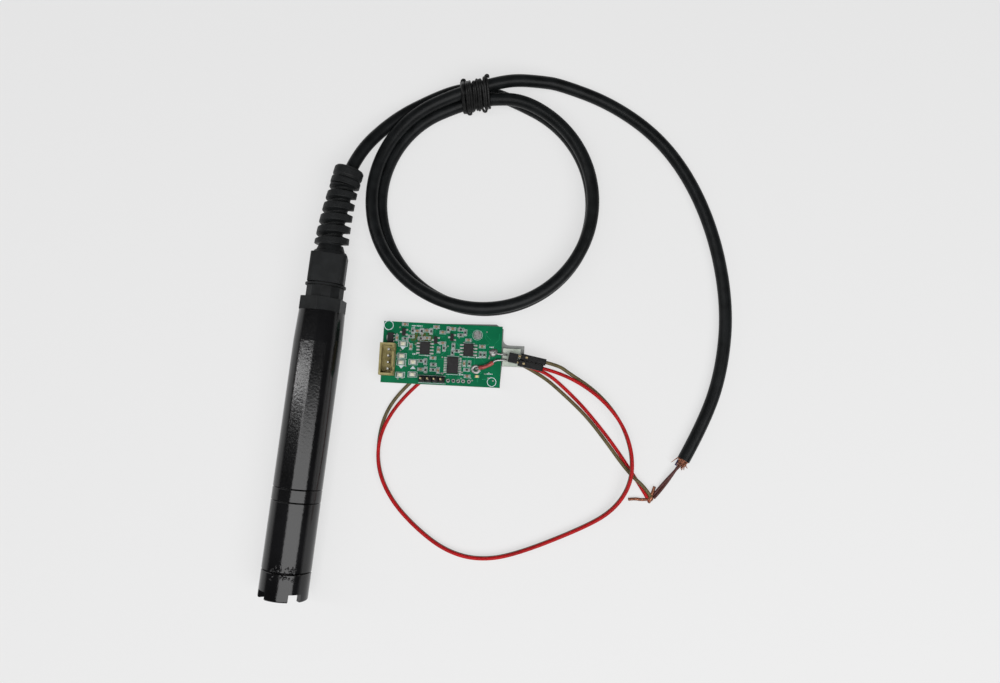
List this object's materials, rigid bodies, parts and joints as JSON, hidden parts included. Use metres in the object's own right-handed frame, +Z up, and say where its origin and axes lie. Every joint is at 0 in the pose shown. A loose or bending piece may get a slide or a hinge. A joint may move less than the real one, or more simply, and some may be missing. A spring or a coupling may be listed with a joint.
{
  "type": "ultrasonic distance sensor",
  "caption": "Wired ultrasonic distance sensor: cylindrical probe with a notched guard and a spiral strain relief, coiled cable, and an open driver board on two signal leads.",
  "frame": {"origin": "centre of the transducer's sensing face, on the probe's axis", "axes": "+Y along the probe's axis from the sensing face towards the cable, so the beam leaves towards -Y; +Z up from the surface that the parts lie on; +X towards the driver board"},
  "size_m": [0.1694, 0.2147, 0.0186],
  "materials": {
    "probe_black": "polished",
    "gland_nylon": "satin",
    "seal_rubber": "matte",
    "cup_aluminium": "turned",
    "matching_epoxy": "matte",
    "piezo_ceramic": "silvered ceramic",
    "backing_rubber": "matte",
    "potting_resin": "cast",
    "wire_tinned": "tinned",
    "cable_jacket": "satin",
    "tie_black": "satin",
    "bare_copper": "bare strands",
    "core_brown": "satin",
    "board_green": "solder mask",
    "carrier_grey": "matte",
    "pad_pale": "matte",
    "socket_beige": "matte",
    "pin_gold": "plated",
    "housing_black": "satin",
    "chip_black": "moulded",
    "capacitor_tan": "ceramic",
    "resistor_dark": "glazed",
    "lamp_pale": "clear",
    "solder": "solder",
    "sleeve_red": "satin",
    "lead_red": "satin",
    "lead_olive": "satin"
  },
  "bodies": {
    "root": {"amplifier_bodies": "chip_black", "amplifier_leads": "wire_tinned", "backing_block": "backing_rubber", "bare_ends": "bare_copper", "barrel_tube": "probe_black", "cable_coil": "cable_jacket", "cable_cores": "core_brown", "cable_inner": "cable_jacket", "cable_lead_in": "cable_jacket", "cable_lead_out": "cable_jacket", "cable_tie": "tie_black", "carrier_plate": "carrier_grey", "ceramic_capacitors": "capacitor_tan", "circuit_board": "board_green", "gland_body": "gland_nylon", "gland_washer": "seal_rubber", "head_o_rings": "seal_rubber", "head_sleeve": "probe_black", "header_housing": "housing_black", "header_pins": "pin_gold", "indicator_leds": "lamp_pale", "lead_olive": "lead_olive", "lead_red": "lead_red", "link_sleeve": "sleeve_red", "link_wire": "wire_tinned", "lock_collar": "probe_black", "matching_layer": "matching_epoxy", "microcontroller_body": "chip_black", "microcontroller_leads": "wire_tinned", "piezo_disc": "piezo_ceramic", "potting_plug": "potting_resin", "probe_header_base": "housing_black", "probe_header_pins": "pin_gold", "rear_cap_hex": "gland_nylon", "rear_o_ring": "seal_rubber", "regulator": "chip_black", "resistors": "resistor_dark", "sealing_grommet": "seal_rubber", "shield_strands": "bare_copper", "sleeved_wire": "wire_tinned", "socket_housing": "socket_beige", "socket_pins": "wire_tinned", "solder_pads": "solder", "splice_joints": "bare_copper", "strain_relief": "gland_nylon", "tongue_pad": "pad_pale", "transducer_cup": "cup_aluminium", "transducer_wires": "wire_tinned", "transistor_bodies": "chip_black", "transistor_leads": "wire_tinned"},
    "guard_seal": {"guard_o_ring": "seal_rubber"},
    "guard_cap": {"guard_cap": "probe_black"},
    "gland_claw": {"clamping_claw": "gland_nylon"},
    "gland_nut": {"gland_nut": "gland_nylon"},
    "plug_red": {"plug_shell_red": "housing_black", "plug_contact_red": "pin_gold"},
    "plug_olive": {"plug_shell_olive": "housing_black", "plug_contact_olive": "pin_gold"}
  },
  "joints": [
    {"name": "guard_cap_travel", "type": "slide", "parent": "root", "child": "guard_seal", "axis": [0, -1, 0], "range_m": [0, 0.0024]},
    {"name": "guard_cap_turn", "type": "hinge", "parent": "guard_seal", "child": "guard_cap", "pos_m": [0, 0, 0], "axis": [0, -1, 0], "range_deg": [0, 1080]},
    {"name": "gland_travel", "type": "slide", "parent": "root", "child": "gland_claw", "axis": [0, 1, 0], "range_m": [0, 0.00254], "deforming": ["strain_relief"]},
    {"name": "gland_nut_turn", "type": "hinge", "parent": "gland_claw", "child": "gland_nut", "pos_m": [0, 0.118, 0], "axis": [0, 1, 0], "range_deg": [0, 720]},
    {"name": "plug_red_pull", "type": "slide", "parent": "root", "child": "plug_red", "axis": [0.9934, -0.1149, 0], "range_m": [0, 0.006], "deforming": ["lead_red"]},
    {"name": "plug_olive_pull", "type": "slide", "parent": "root", "child": "plug_olive", "axis": [0.9934, -0.1149, 0], "range_m": [0, 0.006], "deforming": ["lead_olive"]}
  ],
  "couplings": [
    {"joint": "guard_cap_travel", "follows": "guard_cap_turn", "m_per_rad": 0.00012731},
    {"joint": "gland_travel", "follows": "gland_nut_turn", "m_per_rad": 0.00020211}
  ]
}
